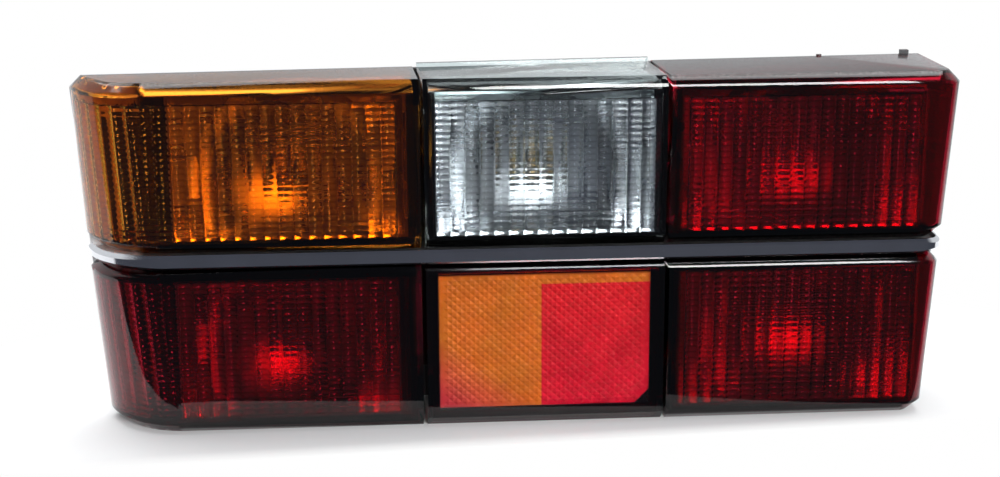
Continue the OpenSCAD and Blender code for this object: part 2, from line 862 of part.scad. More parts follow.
// Strip along a row of lamps, with a branch that leads to the plug inlet at height z_end
module contact_strip(z, z_end) {
    strip_w = 9;
    x0 = outer_lamp_x - strip_overhang;
    x1 = inner_lamp_x + strip_overhang;
    branch_w = 6;
    color([0.8, 0.6, 0.3]) union() {
        translate([x0, strip_front, z - strip_w / 2]) cube([x1 - x0, contact_t, strip_w]);
        translate([connector_x - branch_w / 2, strip_front, min(z, z_end)])
            cube([branch_w, contact_t, abs(z - z_end)]);
    }
}

module upper_contact_strip() {
    contact_strip(upper_lamp_z, connector_z + connector_h / 2);
}

module lower_contact_strip() {
    contact_strip(lower_lamp_z, connector_z - connector_h / 2);
}

// Inlet for the plug of the car's loom
shell_wall = 2;
shell_floor = 3;

module connector_shell() {
    color([0.12, 0.12, 0.12]) translate([connector_x - connector_w / 2, carrier_back, connector_z - connector_h / 2])
        difference() {
            cube([connector_w, connector_depth, connector_h]);
            translate([shell_wall, shell_floor, shell_wall])
                cube([connector_w - 2 * shell_wall, connector_depth, connector_h - 2 * shell_wall]);
        }
}

module connector_blades() {
    blade_count = 6;
    blade_pitch = 6.3;
    blade = [0.8, connector_depth / 2, 4.8];
    color([0.8, 0.6, 0.3])
        for (i = [0 : blade_count - 1])
            translate([
                connector_x + (i - (blade_count - 1) / 2) * blade_pitch - blade[0] / 2,
                carrier_back + shell_floor,
                connector_z - blade[2] / 2
            ]) cube(blade);
}

module mounting_studs() {
    color([0.6, 0.6, 0.55]) stud_places() {
        rod_y(stud_collar_r, rim_y + stud_cover, 0);
        rod_y(stud_r, -bite, stud_len);
    }
}

module body_gasket() {
    color([0.06, 0.06, 0.06]) difference() {
        along_y(flange_back, 0) rim_outline(box_inset - gasket_w);
        along_y(flange_back - bite, bite) rim_outline(box_inset);
        stud_places() rod_y(stud_collar_r, flange_back - bite, bite);
    }
}

amber_lens();
clear_lens();
upper_red_lens();
lower_outer_red_lens();
reflex_lens();
lower_inner_red_lens();
trim_strip();
reflex_insert();
reflex_backing();
housing();
amber_tray();
reversing_tray();
upper_red_tray();
tail_tray();
brake_tray();
amber_bulb();
reversing_bulb();
upper_red_bulb();
tail_bulb();
brake_bulb();
amber_socket();
reversing_socket();
upper_red_socket();
tail_socket();
brake_socket();
contact_springs();
upper_contact_strip();
lower_contact_strip();
bulb_carrier();
carrier_seal();
carrier_knobs();
connector_shell();
connector_blades();
mounting_studs();
body_gasket();
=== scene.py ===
"""Looks of a six-cell tail light cluster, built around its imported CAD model."""

import json
import math

import bpy
from mathutils import Matrix, Vector

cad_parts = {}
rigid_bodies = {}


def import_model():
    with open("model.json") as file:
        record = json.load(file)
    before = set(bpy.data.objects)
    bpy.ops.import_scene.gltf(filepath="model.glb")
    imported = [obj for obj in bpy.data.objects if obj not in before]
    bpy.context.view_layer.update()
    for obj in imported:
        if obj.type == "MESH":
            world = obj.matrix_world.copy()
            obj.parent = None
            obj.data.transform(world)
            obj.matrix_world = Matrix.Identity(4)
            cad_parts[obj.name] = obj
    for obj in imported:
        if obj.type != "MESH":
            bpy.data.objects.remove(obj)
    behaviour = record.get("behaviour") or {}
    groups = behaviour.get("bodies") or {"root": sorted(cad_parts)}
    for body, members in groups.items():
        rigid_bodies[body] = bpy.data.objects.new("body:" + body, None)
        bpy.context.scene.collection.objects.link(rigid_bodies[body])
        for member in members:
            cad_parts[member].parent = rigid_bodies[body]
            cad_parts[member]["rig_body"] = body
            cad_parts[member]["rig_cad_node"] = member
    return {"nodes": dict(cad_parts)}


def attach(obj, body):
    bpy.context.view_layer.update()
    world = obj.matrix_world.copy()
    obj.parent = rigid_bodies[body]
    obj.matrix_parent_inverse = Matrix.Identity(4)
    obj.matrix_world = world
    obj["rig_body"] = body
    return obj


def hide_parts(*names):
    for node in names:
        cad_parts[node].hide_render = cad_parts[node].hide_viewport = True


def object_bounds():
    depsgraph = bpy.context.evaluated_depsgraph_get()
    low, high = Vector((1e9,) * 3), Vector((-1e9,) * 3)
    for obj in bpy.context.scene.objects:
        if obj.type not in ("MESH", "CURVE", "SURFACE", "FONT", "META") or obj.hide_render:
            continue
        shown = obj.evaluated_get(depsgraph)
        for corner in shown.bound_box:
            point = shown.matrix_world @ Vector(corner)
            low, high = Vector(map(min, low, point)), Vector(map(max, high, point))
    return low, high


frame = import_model()
nodes = frame["nodes"]
cad_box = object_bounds()

MM = 0.001

# Sizes that part.scad gives, in metres and radians
FACE_SWEEP = math.radians(3.75)
FACE_Y = -51 * MM
TOP_Z = 86.2 * MM
GAP_BOTTOM = -3.2 * MM
LENS_WALL = 2.6 * MM
FLUTE_PITCH = 7 * MM
FLUTE_H = 1.2 * MM
OUTER_CORNER_R = 38 * MM
BULB_FRONT = 11 * MM
BULB_R = 12.5 * MM
CAP_R = 7.5 * MM
CAP_FRONT = 10 * MM
CAP_LEN = 18 * MM
CAP_TIP = 1.4 * MM

# A row is its lit heights, the height of its top, and the place and lean of its outer end there
UPPER = {"lit": (10.4 * MM, 76.0 * MM), "top": TOP_Z, "end": -213.5 * MM, "lean": math.radians(2.7)}
LOWER = {"lit": (-78.0 * MM, -10.0 * MM), "top": GAP_BOTTOM, "end": -209.19 * MM, "lean": math.radians(4.2)}

# Stretches of the face that carry flutes
OUTER_LIT = (-176.59 * MM, -57.59 * MM)
CLEAR_LIT = (-41.39 * MM, 67.91 * MM)
INNER_LIT = (78.90 * MM, 196.35 * MM)

# Lamps as (name, x, z)
LAMPS = [
    ("amber", -107.0 * MM, 38.5 * MM),
    ("reversing", 13.25 * MM, 38.5 * MM),
    ("upper_red", 141.0 * MM, 38.5 * MM),
    ("tail", -107.0 * MM, -43.5 * MM),
    ("brake", 141.0 * MM, -43.5 * MM),
]

# Field of the reflex reflector, and where its orange part meets the crimson block
REFLEX_X = (-38.6 * MM, 64.3 * MM)
REFLEX_Z = (-77.0 * MM, -9.2 * MM)
REFLEX_CUT = 7 * MM
REFLEX_DIVIDE_X = 11.4 * MM
REFLEX_BAND = 5.5 * MM
REFLEX_FRONT = 3.5 * MM
REFLEX_T = 2.7 * MM

# Rows that cross the flutes and turn them into pillows
ROW_PITCH = 3 * MM
ROW_H = 0.45 * MM
CORNER_COLUMNS = 8

# How far a pad of pillows stands over the flutes and reaches into the wall, and a pillow's faces each way
PILLOW_LIFT = 0.12 * MM
PILLOW_SINK = 0.8 * MM
PILLOW_COLUMNS = 8
PILLOW_ROWS = 4

# The outer lenses' pads are longer by this at both ends, so that no two ends lie in one plane
PAD_SPARE = 0.03 * MM

# Camera of the photograph, fitted to the cluster's straight edges
CAMERA_AT = Vector((-0.10275, -0.7806, 0.2160))
CAMERA_YAW = math.radians(7.51)
CAMERA_PITCH = math.radians(13.67)
CAMERA_ROLL = math.radians(-0.25)
CAMERA_LENS = 57.6
CAMERA_SHIFT = (-0.0048, -0.0564)


def deselect():
    """Leaves edit mode and selects nothing."""
    if bpy.context.object and bpy.context.object.mode != "OBJECT":
        bpy.ops.object.mode_set(mode="OBJECT")
    bpy.ops.object.select_all(action="DESELECT")


def take(obj):
    """Makes obj the only selected and active object."""
    deselect()
    obj.select_set(True)
    bpy.context.view_layer.objects.active = obj


def apply_modifiers(obj):
    """Applies the modifiers of obj in their order."""
    take(obj)
    for modifier in list(obj.modifiers):
        bpy.ops.object.modifier_apply(modifier=modifier.name)


def settle(obj):
    """Puts the object's place into its mesh."""
    take(obj)
    bpy.ops.object.transform_apply(location=True, rotation=True, scale=True)


def edit(obj):
    """Opens obj in edit mode with all of it selected."""
    take(obj)
    bpy.ops.object.mode_set(mode="EDIT")
    bpy.ops.mesh.select_mode(type="VERT")
    bpy.ops.mesh.select_all(action="SELECT")


def face_outwards(obj):
    """Turns all faces of a closed piece outwards."""
    edit(obj)
    bpy.ops.mesh.normals_make_consistent(inside=False)
    bpy.ops.object.mode_set(mode="OBJECT")


def face_matrix():
    """Frame whose X runs along the face and whose Y runs square to it into the lamp."""
    return Matrix.Translation((0, FACE_Y, 0)) @ Matrix.Rotation(-FACE_SWEEP, 4, "Z")


# Shader helpers


def new_material(name):
    """A material with its node tree and its shader."""
    material = bpy.data.materials.new(name)
    material.use_nodes = True
    tree = material.node_tree
    return material, tree, tree.nodes["Principled BSDF"]


def feed(tree, socket, value):
    """Links a socket to an input, or writes a constant or a colour to it."""
    if isinstance(value, bpy.types.NodeSocket):
        tree.links.new(value, socket)
    elif isinstance(value, tuple) and len(value) == 3 and socket.type == "RGBA":
        socket.default_value = (*value, 1)
    else:
        socket.default_value = value


def set_inputs(tree, node, values):
    """Feeds several inputs of a node by their names."""
    for label, value in values.items():
        feed(tree, node.inputs[label], value)


def maths(tree, operation, first, second=0.0, clamp=False):
    """Result of one operation on one or two values."""
    node = tree.nodes.new("ShaderNodeMath")
    node.operation = operation
    node.use_clamp = clamp
    feed(tree, node.inputs[0], first)
    feed(tree, node.inputs[1], second)
    return node.outputs["Value"]


def spread(tree, source, low, high, to_min=0.0, to_max=1.0):
    """Maps a value from low..high to to_min..to_max."""
    node = tree.nodes.new("ShaderNodeMapRange")
    set_inputs(tree, node, {"Value": source, "From Min": low, "From Max": high,
                            "To Min": to_min, "To Max": to_max})
    return node.outputs["Result"]


def blend_colours(tree, factor, first, second):
    """The first colour where factor is 0, the second where it is 1."""
    mix = tree.nodes.new("ShaderNodeMix")
    mix.data_type = "RGBA"
    set_inputs(tree, mix, {"Factor": factor, "A": first, "B": second})
    return mix.outputs["Result"]


def object_coords(tree):
    """Place of a point in the part's frame, whose origin is also that of each piece."""
    return tree.nodes.new("ShaderNodeTexCoord").outputs["Object"]


def axes_of(tree, vector):
    """X, Y and Z of a vector."""
    split = tree.nodes.new("ShaderNodeSeparateXYZ")
    feed(tree, split.inputs["Vector"], vector)
    return split.outputs


def face_axes(tree):
    """X along the face, Y behind it and Z up, for a point of a piece."""
    turn = tree.nodes.new("ShaderNodeMapping")
    turn.inputs["Rotation"].default_value = (0, 0, FACE_SWEEP)
    turn.inputs["Location"].default_value = (FACE_Y * math.sin(FACE_SWEEP), -FACE_Y * math.cos(FACE_SWEEP), 0)
    feed(tree, turn.inputs["Vector"], object_coords(tree))
    return axes_of(tree, turn.outputs["Vector"])


def length_of(tree, first, second):
    """Length of a flat vector with these two parts."""
    squares = [maths(tree, "MULTIPLY", part, part) for part in (first, second)]
    return maths(tree, "SQRT", maths(tree, "ADD", *squares))


def inside(tree, axis, low, high, softness):
    """1 where low < axis < high and 0 outside."""
    above = spread(tree, axis, low - softness, low + softness)
    below = spread(tree, axis, high + softness, high - softness)
    return maths(tree, "MULTIPLY", above, below)


def face_patch(tree, face, span_x, span_z, softness):
    """1 within a rectangle on the face and 0 outside it."""
    across = inside(tree, face["X"], *span_x, softness)
    up = inside(tree, face["Z"], *span_z, softness)
    return maths(tree, "MULTIPLY", across, up)


def node_group(name, inputs, output="Mask", kind="NodeSocketFloat"):
    """An empty shader group with named number inputs and one output."""
    tree = bpy.data.node_groups.new(name, "ShaderNodeTree")
    for label, value in inputs.items():
        socket = tree.interface.new_socket(label, in_out="INPUT", socket_type="NodeSocketFloat")
        socket.default_value = value
    tree.interface.new_socket(output, in_out="OUTPUT", socket_type=kind)
    return tree, tree.nodes.new("NodeGroupInput").outputs, tree.nodes.new("NodeGroupOutput").inputs[output]


def noise(tree, scale, detail=3.0):
    """Noise that is fixed to the piece."""
    node = tree.nodes.new("ShaderNodeTexNoise")
    set_inputs(tree, node, {"Vector": object_coords(tree), "Scale": scale, "Detail": detail})
    return node.outputs["Fac"]


def build_clouding():
    """Soft patches from 0 to 1, for uneven colour and gloss."""
    tree, given, result = node_group("clouding", {"Scale": 40.0, "Contrast": 0.2})
    low = maths(tree, "SUBTRACT", 0.5, given["Contrast"])
    high = maths(tree, "ADD", 0.5, given["Contrast"])
    tree.links.new(spread(tree, noise(tree, given["Scale"]), low, high), result)
    return tree


def build_edge_wear():
    """1 along worn edges and 0 on the faces between them."""
    tree, given, result = node_group("edge_wear", {"Radius": 0.0005, "Amount": 1.0})
    rounded = tree.nodes.new("ShaderNodeBevel")
    rounded.samples = 2
    feed(tree, rounded.inputs["Radius"], given["Radius"])
    flat = tree.nodes.new("ShaderNodeNewGeometry").outputs["Normal"]
    turn = tree.nodes.new("ShaderNodeVectorMath")
    turn.operation = "DOT_PRODUCT"
    tree.links.new(rounded.outputs["Normal"], turn.inputs[0])
    tree.links.new(flat, turn.inputs[1])
    edge = spread(tree, turn.outputs["Value"], 0.995, 0.9)
    patches = spread(tree, noise(tree, 220.0), 0.35, 0.6)
    worn = maths(tree, "MULTIPLY", edge, patches)
    tree.links.new(maths(tree, "MULTIPLY", worn, given["Amount"], clamp=True), result)
    return tree


def build_dust():
    """Dust that lies on what faces up."""
    tree, given, result = node_group("dust", {"Amount": 0.5})
    upward = axes_of(tree, tree.nodes.new("ShaderNodeNewGeometry").outputs["Normal"])["Z"]
    lies = spread(tree, upward, 0.55, 0.95)
    specks = spread(tree, noise(tree, 700.0, 5.0), 0.3, 0.75)
    layer = maths(tree, "MULTIPLY", lies, specks)
    tree.links.new(maths(tree, "MULTIPLY", layer, given["Amount"], clamp=True), result)
    return tree


def build_moulded_grain():
    """Normal with the fine grain of a mould."""
    tree, given, result = node_group("moulded_grain", {"Scale": 900.0, "Strength": 0.1}, "Normal",
                                     "NodeSocketVector")
    grain = tree.nodes.new("ShaderNodeBump")
    grain.inputs["Distance"].default_value = 0.2 * MM
    feed(tree, grain.inputs["Strength"], given["Strength"])
    feed(tree, grain.inputs["Height"], noise(tree, given["Scale"], 2.0))
    tree.links.new(grain.outputs["Normal"], result)
    return tree


CLOUDING = build_clouding()
EDGE_WEAR = build_edge_wear()
DUST = build_dust()
MOULDED_GRAIN = build_moulded_grain()


def place_group(tree, group, **values):
    """Puts a shared group into a material and gives its only output."""
    node = tree.nodes.new("ShaderNodeGroup")
    node.node_tree = group
    set_inputs(tree, node, values)
    return node.outputs[0]


# Where the pillows lie

# Where a flute's and a row's valley starts and ends, from 0 in the middle of a pillow to 1 at its edge
FLUTE_VALLEY = (0.6, 1.0)
ROW_VALLEY = (0.45, 1.0)

# Depth in which a wall turns from its outer to its inner side
INNER_SIDE = (1 * MM, 1.5 * MM)


def rows_in(row):
    """Where the rows of pillows start, how many there are, and how high each is."""
    low, high = row["lit"]
    rows = round((high - low) / ROW_PITCH)
    return low, rows, (high - low) / rows


def flutes_in(lit):
    """Where the flutes over a lit stretch start, and how many there are."""
    columns = math.floor((lit[1] - lit[0]) / FLUTE_PITCH + 1e-6)
    return (lit[0] + lit[1] - columns * FLUTE_PITCH) / 2, columns


def off_middle(tree, count):
    """0 in the middle of each unit that is counted, 1 at its ends."""
    part = maths(tree, "SUBTRACT", maths(tree, "FRACT", count), 0.5)
    return maths(tree, "MULTIPLY", maths(tree, "ABSOLUTE", part), 2)


def round_corner(tree, face, row):
    """1 round the outer corner, the number of pillows up to a point there, and its depth in the wall."""
    slope = math.tan(row["lean"])
    axis_x = maths(tree, "SUBTRACT", row["end"] + OUTER_CORNER_R + slope * row["top"],
                   maths(tree, "MULTIPLY", face["Z"], slope))
    out_x = maths(tree, "SUBTRACT", axis_x, face["X"])
    out_y = maths(tree, "SUBTRACT", OUTER_CORNER_R, face["Y"])
    angle = maths(tree, "ARCTAN2", out_x, out_y)
    pillows = maths(tree, "MULTIPLY", angle, 2 * CORNER_COLUMNS / math.pi)
    depth = maths(tree, "SUBTRACT", OUTER_CORNER_R, length_of(tree, out_x, out_y))
    return maths(tree, "GREATER_THAN", out_x, 0), pillows, depth


def pillow_valleys(tree, face, flutes, row, wraps):
    """1 in the valleys between pillows, on the inner side of the wall, and 0 on their crowns: where shade is
    painted into the lens.
    """
    low, _, height = rows_in(row)
    along = maths(tree, "DIVIDE", maths(tree, "SUBTRACT", face["X"], flutes_in(flutes)[0]), FLUTE_PITCH)
    depth = face["Y"]
    if wraps:
        turned, pillows, corner_depth = round_corner(tree, face, row)
        along = spread(tree, turned, 0, 1, along, pillows)
        depth = spread(tree, turned, 0, 1, depth, corner_depth)
    up = maths(tree, "DIVIDE", maths(tree, "SUBTRACT", face["Z"], low), height)
    painted_valley_shade = maths(tree, "MAXIMUM", spread(tree, off_middle(tree, along), *FLUTE_VALLEY),
                    spread(tree, off_middle(tree, up), *ROW_VALLEY))
    return maths(tree, "MULTIPLY", painted_valley_shade, spread(tree, depth, *INNER_SIDE))


# Materials

DUST_COLOUR = (0.30, 0.28, 0.26)

# Silver overspray on the outer end of the housing, in front of its gasket, which also serves as painted light
# that brightens the dark outer corner
OVERSPRAY_AND_PAINTED_LIGHT = (0.90, 0.90, 0.90)
OVERSPRAY_AND_PAINTED_LIGHT_X = -178 * MM
OVERSPRAY_AND_PAINTED_LIGHT_FADE = 4 * MM

# Painted shade in a dark border round a lens's lit field: its width, and how dark its tint is painted against
# that of the walls
BORDER_W = 5 * MM
BORDER_SHADE = 0.62

# How far the valleys between the pillows take the border's tint, as painted shade in the valleys
VALLEY_SHADE = 0.75

# Softness at the edges of a lit field and of its border
FIELD_EDGE = 0.6 * MM
BORDER_EDGE = 0.3 * MM

# How deep behind the face the lighter tint of the lit field reaches; this lighter tint is painted light
WRAP_DEPTH = 36 * MM
FACE_DEPTH = 6 * MM
COVER_DEPTH = 5 * MM

ACRYLIC_IOR = 1.49
GLASS_IOR = 1.45
GLASS_SHADES = (0.93, 0.94, 0.93), (0.99, 0.99, 0.99)

# Plastic that shows where metallising has rubbed through
BARE_PLASTIC = (0.25, 0.25, 0.26)

# Each lens's tint over its lit field, and the darker tint of its walls, which is painted shade
AMBER_TINT, AMBER_WALL_SHADE = (0.82, 0.33, 0.03), (0.62, 0.21, 0.02)
CLEAR_TINT, CLEAR_WALL_SHADE = (0.93, 0.97, 0.99), (0.62, 0.70, 0.70)
RED_TINT, RED_WALL_SHADE = (0.46, 0.012, 0.03), (0.20, 0.004, 0.012)
COVER_TINT = (1.0, 0.94, 0.92)

# The reflex reflector's orange in two shades, the pink it turns to, its crimson from bottom to top,
# and what shades and rubs them
REFLEX_ORANGES = (1.0, 0.26, 0.015), (0.95, 0.33, 0.02)
REFLEX_PINK = (0.97, 0.07, 0.10)
REFLEX_CRIMSONS = (1.0, 0.001, 0.05), (1.0, 0.012, 0.025)
REFLEX_SHADE = (0.55, 0.04, 0.01)
REFLEX_RUBBED = (0.95, 0.45, 0.3)


def with_border(span):
    """A lit stretch with the border at its two ends."""
    return span[0] - BORDER_W, span[1] + BORDER_W


def moulded_lens(name, tint, shaded_wall_tint, lit_x, row, field_depth, flutes=None, wraps=False):
    """Clear moulded acrylic: its tint, painted lighter in front of the lamp and deeper in the walls, borders
    and valleys between the pillows, as painted light and shade.
    """
    material, tree, shader = new_material(name)
    face = face_axes(tree)
    # Painted light: the lit field in front of the lamp takes the lighter tint, and the walls take the darker,
    # shaded one
    deep = spread(tree, face["Y"], field_depth + MM, field_depth)
    field = maths(tree, "MULTIPLY", face_patch(tree, face, lit_x, row["lit"], FIELD_EDGE), deep)
    # Painted shade: a darker border round the lit field, near the front
    front = spread(tree, face["Y"], LENS_WALL + 2 * MM, LENS_WALL + MM)
    around = face_patch(tree, face, with_border(lit_x), with_border(row["lit"]), BORDER_EDGE)
    border = maths(tree, "MULTIPLY", around, front)
    painted_border_shade = tuple(BORDER_SHADE * part for part in shaded_wall_tint)
    colour = blend_colours(tree, border, shaded_wall_tint, painted_border_shade)
    colour = blend_colours(tree, field, colour, tint)
    if flutes:
        # Painted shade in the valleys between the pillows
        painted_valley_shade = maths(tree, "MULTIPLY", pillow_valleys(tree, face, flutes, row, wraps), field)
        colour = blend_colours(tree, maths(tree, "MULTIPLY", painted_valley_shade, VALLEY_SHADE), colour, painted_border_shade)
    clouds = place_group(tree, CLOUDING, Scale=55.0, Contrast=0.25)
    colour = blend_colours(tree, maths(tree, "MULTIPLY", clouds, 0.25), colour, shaded_wall_tint)
    wear = place_group(tree, EDGE_WEAR, Radius=0.4 * MM, Amount=0.35)
    colour = blend_colours(tree, wear, colour, tint)
    haze = place_group(tree, DUST, Amount=0.25)
    gloss = maths(tree, "ADD", spread(tree, clouds, 0, 1, 0.02, 0.05), haze)
    gloss = maths(tree, "ADD", gloss, maths(tree, "MULTIPLY", wear, 0.2))
    set_inputs(tree, shader, {"Base Color": colour, "Roughness": gloss,
                              "Transmission Weight": 1.0, "IOR": ACRYLIC_IOR})
    return material


def reflex_plastic(name):
    """Orange field that turns pink at its lower left, with a crimson block at the inner side."""
    material, tree, shader = new_material(name)
    axes = axes_of(tree, object_coords(tree))
    right = spread(tree, axes["X"], REFLEX_DIVIDE_X - 0.2 * MM, REFLEX_DIVIDE_X + 0.2 * MM)
    band_z = REFLEX_Z[1] - REFLEX_BAND
    below = spread(tree, axes["Z"], band_z + 0.3 * MM, band_z - 0.3 * MM)
    block = maths(tree, "MULTIPLY", right, below)
    along = spread(tree, axes["X"], REFLEX_X[0], REFLEX_DIVIDE_X)
    height = spread(tree, axes["Z"], REFLEX_Z[0], REFLEX_Z[1])
    pink = spread(tree, maths(tree, "ADD", maths(tree, "MULTIPLY", along, 0.55), height), 0.55, 0.1)
    grain = place_group(tree, CLOUDING, Scale=330.0, Contrast=0.25)
    patches = place_group(tree, CLOUDING, Scale=60.0, Contrast=0.2)
    orange = blend_colours(tree, patches, *REFLEX_ORANGES)
    orange = blend_colours(tree, pink, orange, REFLEX_PINK)
    crimson = blend_colours(tree, height, *REFLEX_CRIMSONS)
    colour = blend_colours(tree, block, orange, crimson)
    shaded = blend_colours(tree, 0.2, colour, REFLEX_SHADE)
    colour = blend_colours(tree, grain, shaded, colour)
    wear = place_group(tree, EDGE_WEAR, Radius=0.2 * MM, Amount=0.25)
    colour = blend_colours(tree, wear, colour, REFLEX_RUBBED)
    gloss = spread(tree, grain, 0, 1, 0.18, 0.32)
    set_inputs(tree, shader, {"Base Color": colour, "Roughness": gloss, "Specular IOR Level": 0.2})
    return material


def metallised(name, colour, roughness):
    """Vacuum metallised plastic, clouded, and rubbed through along its edges."""
    material, tree, shader = new_material(name)
    clouds = place_group(tree, CLOUDING, Scale=35.0, Contrast=0.2)
    dull = tuple(0.8 * part for part in colour)
    wear = place_group(tree, EDGE_WEAR, Radius=0.3 * MM, Amount=0.6)
    shade = blend_colours(tree, wear, blend_colours(tree, clouds, dull, colour), BARE_PLASTIC)
    gloss = spread(tree, clouds, 0, 1, roughness * 1.15, roughness * 0.85)
    gloss = maths(tree, "ADD", gloss, maths(tree, "MULTIPLY", wear, 0.2))
    grain = place_group(tree, MOULDED_GRAIN, Scale=160.0, Strength=0.03)
    set_inputs(tree, shader, {"Base Color": shade, "Metallic": 1.0, "Roughness": gloss, "Normal": grain})
    return material


def moulded_plastic(name, colour, worn_colour, roughness, dusty=0.4, overspray_and_painted_light_x=None):
    """Opaque moulded plastic with a fine grain, rubbed edges and dust, and silver overspray, which is also
    painted light, beyond the x that is given for it.
    """
    material, tree, shader = new_material(name)
    clouds = place_group(tree, CLOUDING, Scale=30.0, Contrast=0.25)
    deeper = tuple(0.75 * part for part in colour)
    wear = place_group(tree, EDGE_WEAR, Radius=0.5 * MM, Amount=0.8)
    dust = place_group(tree, DUST, Amount=dusty)
    shade = blend_colours(tree, clouds, deeper, colour)
    shade = blend_colours(tree, wear, shade, worn_colour)
    shade = blend_colours(tree, dust, shade, DUST_COLOUR)
    if overspray_and_painted_light_x:
        # Silver overspray, and painted light that brightens the dark outer corner
        axes = axes_of(tree, object_coords(tree))
        outer = spread(tree, axes["X"], overspray_and_painted_light_x, overspray_and_painted_light_x - OVERSPRAY_AND_PAINTED_LIGHT_FADE)
        within = spread(tree, axes["Y"], 0, -OVERSPRAY_AND_PAINTED_LIGHT_FADE)
        silver_and_painted_light = maths(tree, "MULTIPLY", outer, within)
        shade = blend_colours(tree, silver_and_painted_light, shade, OVERSPRAY_AND_PAINTED_LIGHT)
        tree.links.new(maths(tree, "MULTIPLY", silver_and_painted_light, 0.2), shader.inputs["Metallic"])
        roughness = maths(tree, "SUBTRACT", roughness, maths(tree, "MULTIPLY", silver_and_painted_light, 0.25))
    gloss = maths(tree, "ADD", roughness, spread(tree, clouds, 0, 1, 0.08, -0.06))
    gloss = maths(tree, "ADD", gloss, maths(tree, "MULTIPLY", dust, 0.3))
    grain = place_group(tree, MOULDED_GRAIN, Scale=900.0, Strength=0.12)
    set_inputs(tree, shader, {"Base Color": shade, "Roughness": gloss, "Normal": grain})
    return material


def plated(name, colour, worn_colour, roughness):
    """Plated or rolled metal, finely grained, tarnished in patches and worn at its edges."""
    material, tree, shader = new_material(name)
    clouds = place_group(tree, CLOUDING, Scale=90.0, Contrast=0.2)
    tarnished = tuple(0.7 * part for part in colour)
    wear = place_group(tree, EDGE_WEAR, Radius=0.3 * MM, Amount=0.8)
    shade = blend_colours(tree, wear, blend_colours(tree, clouds, tarnished, colour), worn_colour)
    gloss = spread(tree, clouds, 0, 1, roughness + 0.12, roughness - 0.04)
    grain = place_group(tree, MOULDED_GRAIN, Scale=400.0, Strength=0.08)
    set_inputs(tree, shader, {"Base Color": shade, "Metallic": 1.0, "Roughness": gloss, "Normal": grain})
    return material


def soft_rubber(name, colour, roughness, pore_scale, pore_strength):
    """Rubber or foam with pores, paler where it is rubbed."""
    material, tree, shader = new_material(name)
    clouds = place_group(tree, CLOUDING, Scale=80.0, Contrast=0.25)
    paler = tuple(2.2 * part for part in colour)
    wear = place_group(tree, EDGE_WEAR, Radius=0.6 * MM, Amount=0.6)
    shade = blend_colours(tree, maths(tree, "MULTIPLY", clouds, 0.4), colour, paler)
    shade = blend_colours(tree, wear, shade, paler)
    gloss = spread(tree, clouds, 0, 1, roughness - 0.05, roughness + 0.1)
    pores = place_group(tree, MOULDED_GRAIN, Scale=pore_scale, Strength=pore_strength)
    set_inputs(tree, shader, {"Base Color": shade, "Roughness": gloss, "Normal": pores})
    return material


def bulb_glass(name):
    """Thin glass, lightly frosted, with a faint film of dust."""
    material, tree, shader = new_material(name)
    clouds = place_group(tree, CLOUDING, Scale=120.0, Contrast=0.3)
    shade = blend_colours(tree, clouds, *GLASS_SHADES)
    gloss = spread(tree, clouds, 0, 1, 0.14, 0.22)
    set_inputs(tree, shader, {"Base Color": shade, "Roughness": gloss,
                              "Transmission Weight": 1.0, "IOR": GLASS_IOR})
    return material


def dress(obj, material):
    """Gives obj this material and no other."""
    obj.data.materials.clear()
    obj.data.materials.append(material)


# The optics of the outer lenses run on round the corner, and so does the lighter tint of the lit field,
# painted light that brightens the corner
OUTER_FIELD = (-1.0, OUTER_LIT[1])
AMBER = moulded_lens("amber_acrylic", AMBER_TINT, AMBER_WALL_SHADE, OUTER_FIELD, UPPER, WRAP_DEPTH, OUTER_LIT, True)
CLEAR = moulded_lens("clear_acrylic", CLEAR_TINT, CLEAR_WALL_SHADE, CLEAR_LIT, UPPER, FACE_DEPTH, CLEAR_LIT)
UPPER_RED = moulded_lens("upper_red_acrylic", RED_TINT, RED_WALL_SHADE, INNER_LIT, UPPER, FACE_DEPTH, INNER_LIT)
TAIL_RED = moulded_lens("tail_red_acrylic", RED_TINT, RED_WALL_SHADE, OUTER_FIELD, LOWER, WRAP_DEPTH, OUTER_LIT,
                        True)
BRAKE_RED = moulded_lens("brake_red_acrylic", RED_TINT, RED_WALL_SHADE, INNER_LIT, LOWER, FACE_DEPTH, INNER_LIT)
# The cover is nearly clear over the reflex reflector and deep red round it; that red is painted darker as
# shade
REFLEX_COVER = moulded_lens("reflex_cover_acrylic", COVER_TINT, RED_WALL_SHADE, REFLEX_X, {"lit": REFLEX_Z},
                            COVER_DEPTH)
REFLEX = reflex_plastic("reflex_prisms")
TRAY = metallised("metallised_tray", (0.82, 0.83, 0.85), 0.28)
STRIP = metallised("bright_strip", (0.70, 0.71, 0.74), 0.12)
HOUSING = moulded_plastic("housing_plastic", (0.055, 0.055, 0.06), (0.16, 0.16, 0.16), 0.5,
                          overspray_and_painted_light_x=OVERSPRAY_AND_PAINTED_LIGHT_X)
CARRIER = moulded_plastic("carrier_plastic", (0.60, 0.60, 0.56), (0.75, 0.75, 0.72), 0.45)
BLACK = moulded_plastic("black_plastic", (0.025, 0.025, 0.027), (0.10, 0.10, 0.10), 0.4)
ZINC = plated("zinc_plated_steel", (0.64, 0.61, 0.54), (0.75, 0.75, 0.73), 0.3)
BRASS = plated("brass_strip", (0.72, 0.50, 0.22), (0.85, 0.70, 0.42), 0.28)
FILAMENT = plated("tungsten_wire", (0.35, 0.34, 0.33), (0.5, 0.5, 0.5), 0.4)
GLASS = bulb_glass("bulb_glass")
FOAM = soft_rubber("seal_foam", (0.03, 0.03, 0.03), 0.85, 1200.0, 0.5)
GASKET = soft_rubber("gasket_rubber", (0.022, 0.022, 0.022), 0.7, 500.0, 0.15)

